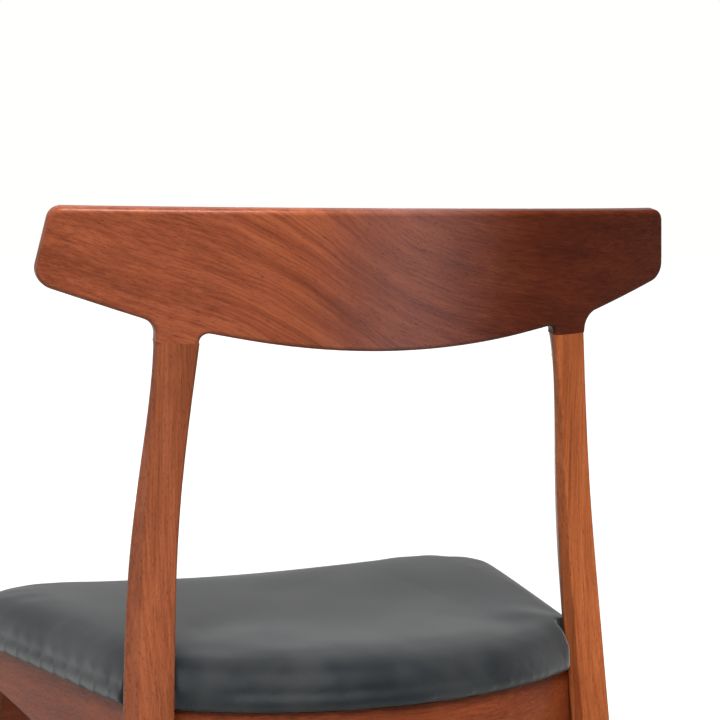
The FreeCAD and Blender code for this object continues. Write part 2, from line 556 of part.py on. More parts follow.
# ---------------------------------------------------------------- assembly
def main():
    """Builds every piece and writes it."""
    os.makedirs("parts", exist_ok=True)
    backrest = make_backrest()
    rear_leg = make_rear_leg()
    front_leg = make_front_leg()
    legs = Part.makeCompound([rear_leg, mirrored(rear_leg), front_leg, mirrored(front_leg)])
    side_rail = make_side_rail(legs)
    front_rail = make_front_rail(legs)
    rear_rail = make_rear_rail(Part.makeCompound([legs, side_rail, mirrored(side_rail)]))

    dowels = rail_dowels()
    tops = back_dowels()
    pegs = {key: group(value) for key, value in dowels.items()}
    top_pegs = group(tops)

    # corner blocks: directions run away from the corner, along the inner faces of the two rails
    rear, front = side_rail_ends()
    along = (front - rear).normalize()
    inward = Vector(along.y, -along.x, 0) * RAIL_THICKNESS
    face_y = SEAT_FRONT_Y + FRONT_RAIL_SETBACK + RAIL_THICKNESS
    reach = (face_y - (front + inward).y) / along.y
    front_corner = front + inward + along * reach
    rear_spot = rear + inward + along * 22.0
    bow = SEAT_REAR_BOW - RAIL_INSET - RAIL_THICKNESS
    bow_turn = math.asin(min(rear_spot.x / bow, 1.0)) - 0.26
    bow_dir = Vector(-math.cos(bow_turn), math.sin(bow_turn), 0)
    wood = Part.makeCompound([side_rail, front_rail, rear_rail, rear_leg, front_leg])
    frames = [(front_corner, along * -1, Vector(-1, 0, 0)), (rear_spot, along, bow_dir)]
    blocks, screws, seat_screws = [], [], []
    for corner, first, second in frames:
        block = corner_block(corner, first, second, wood)
        blocks.append(block)
        screws += block_screws(corner, first, second)
        spot = corner + first * (BLOCK_LEG * 0.30) + second * (BLOCK_LEG * 0.30)
        low = SEAT_BASE_HEIGHT - BLOCK_TOP_GAP - BLOCK_DEPTH
        length = BLOCK_DEPTH + BLOCK_TOP_GAP + LEATHER + SEAT_SCREW_BITE
        shank = Part.makeCylinder(SCREW_RADIUS, length, Vector(spot.x, spot.y, low))
        head = Part.makeCylinder(SCREW_HEAD, 2.4, Vector(spot.x, spot.y, low - 2.4))
        head = fillet_edges(head, 1.0, lambda e: e.BoundBox.ZMax < low - 2.3 and e.Length > SCREW_HEAD)
        seat_screws.append(shank.fuse(head).removeSplitter())
    screw_set = group(screws)
    seat_set = group(seat_screws)
    seat_set = group([seat_set, mirrored(seat_set)])

    # glides, with nails in the feet
    foot_x, foot_width, foot_depth, _, foot_turn = REAR_FOOT
    across, forward = turned(foot_turn)
    rear_foot = Vector(foot_x, OVERALL_DEPTH / 2, 0) + forward * (foot_depth / 2 + 1.0)
    glides = {"rear": make_glide(rear_foot), "front": make_glide(front_leg_axis(0.0))}
    nails = group([n for _, n in glides.values()])

    # seat
    notches = leg_notches(NOTCH_GAP)
    inner_notches = leg_notches(NOTCH_GAP + LEATHER)
    board_notches = leg_notches(NOTCH_GAP + LEATHER + EDGE_FOAM)
    outer = pad_solid(0.0, 0.0, PAD_HEIGHT, PAD_SHOULDER).cut(notches)
    inner = pad_solid(LEATHER, LEATHER, PAD_HEIGHT - LEATHER, PAD_SHOULDER - LEATHER).cut(inner_notches)
    opening = seat_prism(HEM, 0.0, LEATHER)
    wire_staples = group(staples())
    cover = outer.cut(inner).cut(opening).cut(wire_staples).cut(seat_set)
    board = seat_prism(LEATHER + EDGE_FOAM, LEATHER, LEATHER + BOARD).cut(board_notches)
    foam = inner.cut(board).cut(wire_staples)
    board = board.cut(wire_staples).cut(seat_set)
    cloth = seat_prism(HEM, LEATHER - CLOTH, LEATHER).cut(seat_set)

    # holes for what goes through, then both sides
    leg_tools = group([pegs["side"], pegs["rear"], top_pegs, nails])
    front_tools = group([pegs["side"], pegs["front"], nails])
    rear_leg = rear_leg.cut(leg_tools)
    front_leg = front_leg.cut(front_tools)
    side_rail = side_rail.cut(pegs["side"]).cut(pegs["rear"]).cut(screw_set)
    front_tools = group([pegs["front"], screw_set])
    front_rail = front_rail.cut(front_tools).cut(mirrored(front_tools))
    rear_tools = group([pegs["rear"], pegs["side"], screw_set])
    rear_rail = rear_rail.cut(rear_tools).cut(mirrored(rear_tools))
    backrest = backrest.cut(group([top_pegs, mirrored(top_pegs)]))
    blocks = [b.cut(screw_set).cut(seat_set) for b in blocks]

    save("backrest", backrest)
    for side, turn in (("left", lambda s: s), ("right", mirrored)):
        save("rear_leg_" + side, turn(rear_leg))
        save("front_leg_" + side, turn(front_leg))
        save("side_rail_" + side, turn(side_rail))
        save("front_corner_block_" + side, turn(blocks[0]))
        save("rear_corner_block_" + side, turn(blocks[1]))
        save("backrest_dowels_" + side, turn(top_pegs))
        save("side_rail_dowels_" + side, turn(pegs["side"]))
        for end, (disc, _) in glides.items():
            save("%s_glide_%s" % (end, side), turn(disc))
    save("front_rail", front_rail)
    save("rear_rail", rear_rail)
    save("front_rail_dowels", group([pegs["front"], mirrored(pegs["front"])]))
    save("rear_rail_dowels", group([pegs["rear"], mirrored(pegs["rear"])]))
    save("corner_block_screws", group([screw_set, mirrored(screw_set)]))
    save("seat_screws", seat_set)
    save("glide_nails", group([nails, mirrored(nails)]))
    save("seat_board", board)
    save("seat_foam", foam)
    save("seat_cover", cover)
    save("seat_dust_cloth", cloth)
    save("cover_staples", wire_staples)


main()
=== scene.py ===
"""Dining chair: oiled teak frame with a curved crest backrest, and a black leather seat pad.

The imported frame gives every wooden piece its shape. This script dresses those pieces, makes the
seat pad as upholstery drawn over foam, and adds the floor, light and camera. Metres throughout.
"""
from __future__ import annotations

import json
import logging
import math
from dataclasses import dataclass, field
from enum import Enum
from typing import Union

import bpy
import numpy as np
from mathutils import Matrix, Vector, geometry

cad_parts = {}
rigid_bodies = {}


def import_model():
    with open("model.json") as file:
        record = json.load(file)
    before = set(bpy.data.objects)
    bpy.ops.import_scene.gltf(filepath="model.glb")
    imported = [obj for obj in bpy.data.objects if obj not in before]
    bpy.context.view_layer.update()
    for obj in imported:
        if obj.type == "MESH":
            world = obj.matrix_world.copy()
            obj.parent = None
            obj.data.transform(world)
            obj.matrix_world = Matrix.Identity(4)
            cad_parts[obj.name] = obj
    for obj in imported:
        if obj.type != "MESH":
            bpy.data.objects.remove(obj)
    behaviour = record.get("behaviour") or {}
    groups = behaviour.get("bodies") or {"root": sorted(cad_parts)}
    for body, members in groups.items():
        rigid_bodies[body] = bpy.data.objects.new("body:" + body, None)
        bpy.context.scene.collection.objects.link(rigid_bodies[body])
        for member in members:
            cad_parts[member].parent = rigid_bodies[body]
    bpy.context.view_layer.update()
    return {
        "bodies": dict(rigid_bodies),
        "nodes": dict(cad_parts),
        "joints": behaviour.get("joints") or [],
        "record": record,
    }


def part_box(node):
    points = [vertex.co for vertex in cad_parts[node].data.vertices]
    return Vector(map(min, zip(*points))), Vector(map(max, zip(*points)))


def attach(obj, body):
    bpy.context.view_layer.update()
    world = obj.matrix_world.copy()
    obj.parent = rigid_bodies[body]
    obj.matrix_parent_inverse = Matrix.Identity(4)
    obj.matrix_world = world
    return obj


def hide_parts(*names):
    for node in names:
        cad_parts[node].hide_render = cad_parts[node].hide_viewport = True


LOG = logging.getLogger("dining_chair")
MM = 0.001
Colour = tuple[float, float, float]


# ------------------------------------------------------------------ shader graph
class Field:
    """A number that varies over a surface. Its operators add Math nodes."""

    def __init__(self, graph: "Graph", socket: bpy.types.NodeSocket | None) -> None:
        """Wraps a socket.

        Args:
            graph: the graph that new nodes go into.
            socket: the output that carries the number.
        """
        self.graph = graph
        self.socket = socket

    def _math(self, operation: str, *values: "Number") -> "Field":
        """Adds one Math node.

        Args:
            operation: the node's operation.
            values: its inputs in order.

        Returns:
            The node's result.
        """
        named = {index: value for index, value in enumerate(values)}
        return self.graph.node("ShaderNodeMath", {"operation": operation}, named)

    def __add__(self, other: "Number") -> "Field":
        """self + other."""
        return self._math("ADD", self, other)

    __radd__ = __add__

    def __sub__(self, other: "Number") -> "Field":
        """self - other."""
        return self._math("SUBTRACT", self, other)

    def __rsub__(self, other: "Number") -> "Field":
        """other - self."""
        return self._math("SUBTRACT", other, self)

    def __mul__(self, other: "Number") -> "Field":
        """self * other."""
        return self._math("MULTIPLY", self, other)

    __rmul__ = __mul__

    def __truediv__(self, other: "Number") -> "Field":
        """self / other."""
        return self._math("DIVIDE", self, other)

    def tanh(self) -> "Field":
        """Hyperbolic tangent, a smooth step from -1 to 1."""
        return self._math("TANH", self)

    def sine(self) -> "Field":
        """Sine of a number in radians."""
        return self._math("SINE", self)

    def absolute(self) -> "Field":
        """Size without sign."""
        return self._math("ABSOLUTE", self)

    def step(self, low: float, high: float) -> "Field":
        """A smooth step.

        Args:
            low: where it leaves 0.
            high: where it reaches 1.

        Returns:
            0 below low, 1 above high, smooth between.
        """
        settings = {"interpolation_type": "SMOOTHSTEP"}
        values = {"Value": self, "From Min": low, "From Max": high}
        return self.graph.node("ShaderNodeMapRange", settings, values)


Number = Union[Field, float]


class Graph:
    """The node graph of one material."""

    def __init__(self, name: str) -> None:
        """Makes an empty material.

        Args:
            name: the material's name.
        """
        self.material = bpy.data.materials.new(name)
        self.material.use_nodes = True
        self.tree = self.material.node_tree
        self.tree.nodes.clear()

    def node(self, kind: str, settings: dict, values: dict, output: int | str = 0) -> Field:
        """Adds any node.

        Args:
            kind: the node's type.
            settings: its properties, set first; "stops" fills a ramp with (place, colour) pairs.
            values: numbers, colours or fields for its inputs, by name or index.
            output: which output to return.

        Returns:
            The chosen output.
        """
        made = self.tree.nodes.new(kind)
        for name, value in settings.items():
            if name == "stops":
                self._fill_ramp(made.color_ramp, value)
            else:
                setattr(made, name, value)
        for name, value in values.items():
            if isinstance(value, Field):
                self.tree.links.new(value.socket, made.inputs[name])
            else:
                made.inputs[name].default_value = value
        return Field(self, made.outputs[output] if len(made.outputs) else None)

    @staticmethod
    def _fill_ramp(ramp: bpy.types.ColorRamp, stops: list) -> None:
        """Gives a ramp its stops.

        Args:
            ramp: the ramp.
            stops: (place, colour) pairs, at least two.
        """
        while len(ramp.elements) < len(stops):
            ramp.elements.new(0.5)
        for element, (place, colour) in zip(ramp.elements, stops):
            element.position = place
            element.color = (*colour, 1.0)

    def position(self) -> tuple[Field, Field, Field]:
        """Object coordinates, split in X, Y and Z."""
        place = self.node("ShaderNodeTexCoord", {}, {}, "Object")
        return self.split(place)

    def split(self, vector: Field) -> tuple[Field, Field, Field]:
        """The three parts of a vector."""
        made = self.tree.nodes.new("ShaderNodeSeparateXYZ")
        self.tree.links.new(vector.socket, made.inputs[0])
        return tuple(Field(self, output) for output in made.outputs)

    def vector(self, x: Number, y: Number, z: Number) -> Field:
        """A vector from three numbers."""
        return self.node("ShaderNodeCombineXYZ", {}, {"X": x, "Y": y, "Z": z})

    def noise(self, place: Field, scale: float, detail: float = 3.0, rough: float = 0.5) -> Field:
        """Smooth noise from 0 to 1.

        Args:
            place: where to read it.
            scale: bumps per unit.
            detail: finer layers.
            rough: strength of the finer layers.

        Returns:
            The noise value.
        """
        values = {"Vector": place, "Scale": scale, "Detail": detail, "Roughness": rough}
        return self.node("ShaderNodeTexNoise", {}, values, "Fac")

    def mix(self, share: Number, first: Field | Colour, second: Field | Colour, blend: str = "MIX") -> Field:
        """A colour between two.

        Args:
            share: 0 for the first, 1 for the second.
            first: a colour.
            second: another.
            blend: how they mix.

        Returns:
            The mixed colour.
        """
        pair = [value if isinstance(value, Field) else (*value, 1.0) for value in (first, second)]
        settings = {"data_type": "RGBA", "blend_type": blend}
        return self.node("ShaderNodeMix", settings, {0: share, 6: pair[0], 7: pair[1]}, 2)

    def bump(self, height: Field, strength: float, distance: float) -> Field:
        """A normal tilted by a height.

        Args:
            height: the height field.
            strength: from 0 to 1.
            distance: metres for a height of 1.

        Returns:
            The normal.
        """
        values = {"Strength": strength, "Distance": distance, "Height": height}
        return self.node("ShaderNodeBump", {}, values)

    def finish(self, values: dict) -> bpy.types.Material:
        """Adds the surface shader.

        Args:
            values: inputs of the shader by name.

        Returns:
            The material.
        """
        shader = self.node("ShaderNodeBsdfPrincipled", {}, values)
        self.node("ShaderNodeOutputMaterial", {}, {"Surface": shader})
        return self.material


# ------------------------------------------------------------------ finishes
class Grain(Enum):
    """Which way the grain of a wooden piece runs."""

    ACROSS = "along X"
    CREST = "along X, swirling on one side"
    UPRIGHT = "along Z"
    DEEP = "along Y"


# Heartwood tone and painted shade, multiplied into the crest's colour on its -X side, turned from the key
# light.
HEART_AND_SHADE_TINT = (0.20, 0.105, 0.07)
# Grey oxide of the wood and painted reflection of the floor, as a greyish bloom.
OXIDE_AND_SHEEN_TINT = (0.20, 0.125, 0.13)


@dataclass(frozen=True)
class Wood:
    """Oiled or plain wood with streaks and pores.

    The seed shifts the pattern along the grain. The shade darkens the side away from +X, which is turned
    from the key light: heartwood tone and painted shade.
    """

    name: str
    grain: Grain
    dark: Colour
    middle: Colour
    light: Colour
    rough: float = 0.40
    coat: float = 0.10
    seed: float = 0.0
    shade: float = 0.0

    def grain_frame(self, graph: Graph) -> tuple[Field, Field, Field]:
        """Coordinates along the grain and the two ways across it.

        On the crest, lines of grain follow z = sweep(x) + sag(x): they run down from one wing through
        the middle, then level out on the other side.

        Args:
            graph: the material's graph.

        Returns:
            Along, across and depth, in metres.
        """
        x, y, z = graph.position()
        if self.grain is Grain.UPRIGHT:
            return z, x + y * 0.35, y
        if self.grain is Grain.DEEP:
            return y, z + x * 0.2, x
        if self.grain is Grain.ACROSS:
            return x, z + y * 0.2, y
        sweep = ((x - 0.04) / 0.075).tanh() * 0.042 + x * 0.05
        sag = (x + 0.11) * (x + 0.11) * 0.35
        wander = (graph.noise(graph.vector(x, y, z), 9.0, 2.0) - 0.5) * 0.016
        return x, z - sweep - sag + wander, y

    def build(self) -> bpy.types.Material:
        """Makes the material."""
        graph = Graph(self.name)
        along, across, depth = self.grain_frame(graph)
        place = graph.vector(along + self.seed, across, depth)
        across = across + (graph.noise(place, 22.0, 2.0) - 0.5) * 0.004
        lines = self.stretched(graph, along, across, depth, 13.0, 620.0, 3.0)
        streaks = self.stretched(graph, along, across, depth, 5.0, 110.0, 3.0)
        bands = self.stretched(graph, along, across, depth, 2.4, 26.0, 2.0)
        pores = self.stretched(graph, along, across, depth, 240.0, 1900.0, 1.0).step(0.58, 0.70)
        cloud = graph.noise(place, 13.0, 3.0, 0.55)
        tone = lines * 0.44 + streaks * 0.30 + bands * 0.26
        stops = [(0.36, self.dark), (0.50, self.middle), (0.64, self.light)]
        base = graph.node("ShaderNodeValToRGB", {"stops": stops}, {"Fac": tone}, "Color")
        base = graph.mix(cloud.step(0.45, 0.75) * 0.4, base, self.dark)
        coat: Number = self.coat
        if self.shade:
            x, _, _ = graph.position()
            # Painted shade with heartwood tone: the -X side, turned from the key light, is darkened in the
            # colour, and its coat is thinned.
            heart_and_shade = (x * -1.0 + (cloud - 0.5) * 0.12).step(-0.10, 0.12)
            base = graph.mix(heart_and_shade * self.shade, base, HEART_AND_SHADE_TINT, "MULTIPLY")
            coat = (1.0 - heart_and_shade) * self.coat
            # Painted reflection with grey oxide: a greyish bloom near the middle of the crest stands in for
            # floor light reflected there.
            oxide_and_sheen = hump_field(x + 0.01, 0.09) * 0.26
            base = graph.mix(oxide_and_sheen, base, OXIDE_AND_SHEEN_TINT)
        base = graph.mix(pores * 0.45, base, tuple(c * 0.25 for c in self.dark))
        relief = lines * 0.3 - pores * 0.7
        normal = graph.bump(relief, 0.4, 0.00025)
        rough = lines * 0.12 + pores * 0.2 + (self.rough - 0.06)
        return graph.finish({
            "Base Color": base, "Roughness": rough, "Normal": normal, "Coat Weight": coat,
            "Coat Roughness": 0.18, "Specular IOR Level": 0.13,
        })

    def stretched(self, graph: Graph, along: Field, across: Field, depth: Field, slow: float, fast: float,
                  detail: float) -> Field:
        """Noise drawn out along the grain.

        Args:
            graph: the material's graph.
            along: distance along the grain.
            across: distance across it.
            depth: the third distance.
            slow: features per metre along.
            fast: features per metre across.
            detail: finer layers.

        Returns:
            Noise from 0 to 1.
        """
        drawn = graph.vector((along + self.seed) * slow, across * fast, depth * (fast * 0.6))
        return graph.noise(drawn, 1.0, detail, 0.6)


@dataclass(frozen=True)
class Leather:
    """Satin black leather with a fine grain and paler clouds."""

    name: str = "seat_leather_satin"
    dark: Colour = (0.005, 0.007, 0.009)
    pale: Colour = (0.021, 0.023, 0.024)
    rough: float = 0.56

    def build(self) -> bpy.types.Material:
        """Makes the material."""
        graph = Graph(self.name)
        x, y, z = graph.position()
        place = graph.vector(x, y, z)
        values = {"Vector": place, "Scale": 900.0}
        cells = graph.node("ShaderNodeTexVoronoi", {"feature": "F1"}, values, "Distance")
        creases = graph.noise(place, 420.0, 4.0, 0.65)
        cloud = graph.noise(place, 11.0, 3.0, 0.6)
        base = graph.mix(cloud.step(0.35, 0.7), self.dark, self.pale)
        base = graph.mix((1.0 - cells).step(0.75, 1.0) * 0.15, base, (0.05, 0.05, 0.05))
        relief = (1.0 - cells) * 0.5 + creases * 0.5
        normal = graph.bump(relief, 0.42, 0.0004)
        rough = cloud * 0.10 + creases * 0.10 + (self.rough - 0.08)
        return graph.finish({
            "Base Color": base, "Roughness": rough, "Normal": normal, "Specular IOR Level": 0.10,
            "Sheen Weight": 0.27, "Sheen Roughness": 0.5,
        })


@dataclass(frozen=True)
class Plain:
    """A small part's finish with slight mottling: metal, plastic, cloth or foam."""

    name: str
    colour: Colour
    rough: float
    metal: float = 0.0
    scale: float = 300.0
    relief: float = 0.1

    def build(self) -> bpy.types.Material:
        """Makes the material."""
        graph = Graph(self.name)
        place = graph.vector(*graph.position())
        mottle = graph.noise(place, self.scale, 3.0)
        darker = tuple(c * 0.8 for c in self.colour)
        lighter = tuple(min(1.0, c * 1.15) for c in self.colour)
        base = graph.mix(mottle, darker, lighter)
        normal = graph.bump(mottle, self.relief, 0.0003)
        return graph.finish({
            "Base Color": base, "Roughness": mottle * 0.12 + (self.rough - 0.06), "Normal": normal,
            "Metallic": self.metal,
        })


@dataclass(frozen=True)
class Woven:
    """Thin woven cloth, its threads crossing on X and Y."""

    name: str = "dust_cloth_weave"
    colour: Colour = (0.012, 0.012, 0.013)
    threads: float = 1400.0

    def build(self) -> bpy.types.Material:
        """Makes the material."""
        graph = Graph(self.name)
        x, y, _ = graph.position()
        warp = (x * (self.threads * math.pi)).sine().absolute()
        weft = (y * (self.threads * math.pi)).sine().absolute()
        weave = warp * weft
        base = graph.mix(weave, tuple(c * 0.5 for c in self.colour), tuple(c * 2.2 for c in self.colour))
        normal = graph.bump(weave, 0.4, 0.0003)
        return graph.finish({"Base Color": base, "Roughness": 0.85, "Normal": normal})


# ------------------------------------------------------------------ wooden frame
LEG_TONES = {
    "left": ((0.100, 0.025, 0.009), (0.175, 0.045, 0.017), (0.25, 0.072, 0.029)),
    "right": ((0.175, 0.042, 0.012), (0.285, 0.074, 0.022), (0.38, 0.112, 0.036)),
}
RAIL_TONES = ((0.10, 0.020, 0.006), (0.175, 0.036, 0.011), (0.25, 0.058, 0.018))
CREST_TONES = ((0.145, 0.032, 0.013), (0.245, 0.060, 0.024), (0.33, 0.094, 0.038))
BEECH_TONES = ((0.42, 0.27, 0.15), (0.55, 0.38, 0.22), (0.62, 0.45, 0.28))
PLY_TONES = ((0.45, 0.30, 0.17), (0.56, 0.4, 0.24), (0.64, 0.48, 0.3))


@dataclass
class ChairFrame:
    """Backrest, legs, rails and their joinery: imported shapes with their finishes."""

    nodes: dict
    dressed: list = field(default_factory=list)

    def finishes(self) -> dict:
        """The finish of each node of the frame, by node name."""
        crest = Wood("teak_crest", Grain.CREST, *CREST_TONES, shade=0.85)
        rails = Wood("teak_rail", Grain.ACROSS, *RAIL_TONES, seed=3.0)
        sides = Wood("teak_side_rail", Grain.DEEP, *RAIL_TONES, seed=7.0)
        beech = Wood("beech_plain", Grain.ACROSS, *BEECH_TONES, rough=0.6, coat=0.0)
        ply = Wood("seat_plywood", Grain.ACROSS, *PLY_TONES, rough=0.6, coat=0.0, seed=5.0)
        steel = Plain("zinc_steel", (0.55, 0.56, 0.58), 0.35, 1.0)
        glide = Plain("glide_plastic", (0.03, 0.024, 0.02), 0.5)
        chosen = {"backrest": crest, "front_rail": rails, "rear_rail": rails, "seat_board": ply}
        for index, side in enumerate(("left", "right")):
            for end in ("rear", "front"):
                seed = 11.0 + 5.0 * index + (2.0 if end == "front" else 0.0)
                name = "teak_%s_leg_%s" % (end, side)
                tones = LEG_TONES[side]
                chosen["%s_leg_%s" % (end, side)] = Wood(name, Grain.UPRIGHT, *tones, seed=seed)
                chosen["%s_corner_block_%s" % (end, side)] = beech
                chosen["%s_glide_%s" % (end, side)] = glide
            chosen["side_rail_" + side] = sides
            chosen["backrest_dowels_" + side] = beech
            chosen["side_rail_dowels_" + side] = beech
        chosen.update({name: beech for name in ("front_rail_dowels", "rear_rail_dowels")})
        fasteners = ("corner_block_screws", "seat_screws", "glide_nails", "cover_staples")
        chosen.update({name: steel for name in fasteners})
        return chosen

    def build(self) -> None:
        """Gives every node its material; a finish shared by nodes is made once."""
        made: dict = {}
        for node, finish in self.finishes().items():
            if finish not in made:
                made[finish] = finish.build()
            target = self.nodes[node]
            target.data.materials.clear()
            target.data.materials.append(made[finish])
            self.dressed.append(node)
            LOG.info("%s dressed in %s", node, finish.name)


# ------------------------------------------------------------------ seat pad
def new_piece(name: str, points: np.ndarray, faces: np.ndarray) -> bpy.types.Object:
    """Makes an object from arrays.

    Args:
        name: its name.
        points: (n, 3) places in metres.
        faces: (m, 3) or (m, 4) corner numbers, outwards.

    Returns:
        The object, smooth shaded and linked.
    """
    mesh = bpy.data.meshes.new(name)
    mesh.from_pydata(points.tolist(), [], faces.tolist())
    mesh.polygons.foreach_set("use_smooth", np.ones(len(mesh.polygons), bool))
    mesh.update()
    made = bpy.data.objects.new(name, mesh)
    bpy.context.collection.objects.link(made)
    return made


def points_of(mesh: bpy.types.Mesh) -> np.ndarray:
    """The vertices of a mesh as an (n, 3) array."""
    flat = np.empty(len(mesh.vertices) * 3)
    mesh.vertices.foreach_get("co", flat)
    return flat.reshape(-1, 3)


def turned_grid(rows: int, turns: int) -> np.ndarray:
    """Faces of a grid of rows x turns points that closes round its second way.

    Args:
        rows: points along the profile.
        turns: points round.

    Returns:
        (m, 4) corner numbers.
    """
    row = np.arange(rows - 1)[:, None] * turns
    here = np.arange(turns)[None, :]
    onward = (here + 1) % turns
    return np.stack([row + here, row + onward, row + turns + onward, row + turns + here], -1).reshape(-1, 4)


def hump_field(distance: Field, width: float) -> Field:
    """A soft hill, 1 at no distance and 0 beyond the width."""
    return 1.0 - distance.absolute().step(0.0, width)


def hump(value: np.ndarray, middle: float, width: float) -> np.ndarray:
    """A bell: e to the minus square of the distance from middle, in widths."""
    return np.exp(-(((value - middle) / width) ** 2))


@dataclass
class SeatPad:
    """The leather-covered pad: foam swollen against its cover, over a board with a straight band."""

    nodes: dict
    turns: int = 480
    slack: float = 1.2 * MM
    travel: float = 1.8 * MM
    voxel: float = 4.5 * MM
    band: float = 10.5 * MM
    tuck: float = 1.2 * MM
    dish: float = 3.6 * MM
    pucker: float = 0.6 * MM
    pressure: float = 4.0
    leg_room: float = 1.2 * MM
    side_lift: float = 6.0 * MM
    corner_full: float = 13.0 * MM
    notch_depth: float = 12.0 * MM
    cloth_gap: float = 0.3 * MM
    cloth_inset: float = 66.0 * MM
    cloth_sag: float = 1.0 * MM

    def __post_init__(self) -> None:
        """Reads the pad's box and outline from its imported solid."""
        self.low, self.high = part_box("seat_cover")
        self.middle = np.array([0.0, (self.low.y + self.high.y) / 2 - 10 * MM])
        self.reach = self.outline()
        self.full = self.without_notches()

    def outline(self) -> np.ndarray:
        """Distance from the middle to the cover's wall in each direction, found with level rays.

        Returns:
            One distance per turn, anticlockwise from +X.
        """
        cover = self.nodes["seat_cover"]
        angles = np.arange(self.turns) * 2 * math.pi / self.turns
        level = self.low.z + 5 * MM
        found = []
        for angle in angles:
            way = Vector((math.cos(angle), math.sin(angle), 0.0))
            start = Vector((self.middle[0], self.middle[1], level)) + way
            hit, place, _, _ = cover.ray_cast(start, -way)
            found.append(1.0 - (place - start).length if hit else 0.2)
        return np.array(found)

    def surface(self) -> bpy.types.Object:
        """The slack pad: a profile of insets and heights carried round the outline.

        Each point lies at middle + direction * (reach - inset), or reach * share nearer the middle.

        Returns:
            The closed pad.
        """
        top = self.high.z - self.low.z - self.slack
        wall = np.array([
            (2.0, 0.0), (0.6, 0.5), (0.0, 1.6), (-0.2, 4.0), (-0.2, 7.0), (0.1, 9.5), (0.7, 12.0),
            (0.8, 15.0),
            (1.6, 19.0), (3.6, 23.0), (7.0, 27.0), (12.0, 30.2), (19.0, 32.6), (28.0, 34.0),
        ]) * MM
        wall[:, 1] *= top / (34.0 * MM)
        angles = np.arange(self.turns) * 2 * math.pi / self.turns
        way = np.stack([np.cos(angles), np.sin(angles)], -1)
        rows = []
        for share in (0.02, 0.2, 0.4, 0.6, 0.8, 0.93):
            rows.append((way * (self.full * share)[:, None], 0.0))
        for inset, height in wall:
            loose = self.slack * min(1.0, max(0.0, height / self.band - 0.9))
            rows.append((way * (self.full - inset - loose)[:, None], height))
        for share in (0.80, 0.66, 0.50, 0.34, 0.18, 0.02):
            rows.append((way * (self.full * share)[:, None], top + 0.6 * MM * (1 - share)))
        points = np.concatenate([
            np.column_stack([flat + self.middle, np.full(self.turns, self.low.z + height)])
            for flat, height in rows
        ])
        ends = np.array([(*self.middle, self.low.z), (*self.middle, self.low.z + top + 0.6 * MM)])
        pad = new_piece("seat_pad", np.concatenate([points, ends]), turned_grid(len(rows), self.turns))
        return self.close_ends(pad, len(rows))

    def without_notches(self) -> np.ndarray:
        """The outline as if no leg stood in it.

        It is the distance to the convex hull in each direction, plus some more in the depth of a notch,
        where the corner would stand.

        Returns:
            One distance per turn.
        """
        angles = np.arange(self.turns) * 2 * math.pi / self.turns
        way = np.stack([np.cos(angles), np.sin(angles)], -1)
        flat = way * self.reach[:, None]
        hull = flat[geometry.convex_hull_2d([Vector(point) for point in flat])]
        edge = np.roll(hull, -1, axis=0) - hull
        facing = way[:, None, 0] * edge[None, :, 1] - way[:, None, 1] * edge[None, :, 0]
        start = hull[None, :, 0] * edge[None, :, 1] - hull[None, :, 1] * edge[None, :, 0]
        far = start / np.where(np.abs(facing) < 1e-9, 1e-9, facing)
        far = np.where(far > 0, far, np.inf).min(1)
        return far + self.corner_full * np.clip((far - self.reach) / self.notch_depth, 0.0, 1.0)

    def clear_legs(self, pad: bpy.types.Object) -> None:
        """Presses the pad back to the notches: no point lies beyond the outline plus the leg room there."""
        points = points_of(pad.data)
        flat = points[:, :2] - self.middle
        distance = np.maximum(np.linalg.norm(flat, axis=1), 1e-6)
        turn = np.arctan2(flat[:, 1], flat[:, 0]) % (2 * math.pi)
        angles = np.arange(self.turns) * 2 * math.pi / self.turns
        limit = np.interp(turn, angles, self.reach, period=2 * math.pi)
        full = np.interp(turn, angles, self.full, period=2 * math.pi)
        limit = np.where(full - limit > 0.5 * MM, limit + self.leg_room, np.inf)
        points[:, :2] = self.middle + flat * (np.minimum(distance, limit) / distance)[:, None]
        pad.data.vertices.foreach_set("co", points.ravel())
        pad.data.update()

    def calm(self, pad: bpy.types.Object) -> None:
        """Smooths the leather above the band."""
        height = points_of(pad.data)[:, 2] - self.low.z
        soft = pad.vertex_groups.new(name="soft")
        soft.add(np.nonzero(height > 15 * MM)[0].tolist(), 1.0, "REPLACE")
        smooth = pad.modifiers.new("calm", "SMOOTH")
        smooth.factor = 0.5
        smooth.iterations = 14
        smooth.vertex_group = "soft"
        self.keep(pad)

    def close_ends(self, pad: bpy.types.Object, rows: int) -> bpy.types.Object:
        """Joins the first and last rings to the two poles.

        Args:
            pad: the open pad, its poles the last two points.
            rows: how many rings it has.

        Returns:
            The same object, closed.
        """
        here = np.arange(self.turns)
        onward = (here + 1) % self.turns
        first = np.full(self.turns, rows * self.turns)
        last = (rows - 1) * self.turns
        fans = np.concatenate([
            np.stack([first, onward, here], -1), np.stack([first + 1, last + here, last + onward], -1),
        ])
        points = points_of(pad.data)
        quads = turned_grid(rows, self.turns)
        mesh = bpy.data.meshes.new("seat_pad")
        mesh.from_pydata(points.tolist(), [], quads.tolist() + fans.tolist())
        pad.data = mesh
        return pad

    def remesh(self, pad: bpy.types.Object) -> None:
        """Rebuilds the pad from even quads."""
        remesh = pad.modifiers.new("even", "REMESH")
        remesh.mode = "VOXEL"
        remesh.voxel_size = self.voxel
        self.keep(pad)

    def keep(self, pad: bpy.types.Object) -> None:
        """Makes the modified shape the mesh, and drops the modifiers."""
        graph = bpy.context.evaluated_depsgraph_get()
        mesh = bpy.data.meshes.new_from_object(pad.evaluated_get(graph))
        pad.modifiers.clear()
        pad.data = mesh
        mesh.polygons.foreach_set("use_smooth", np.ones(len(mesh.polygons), bool))

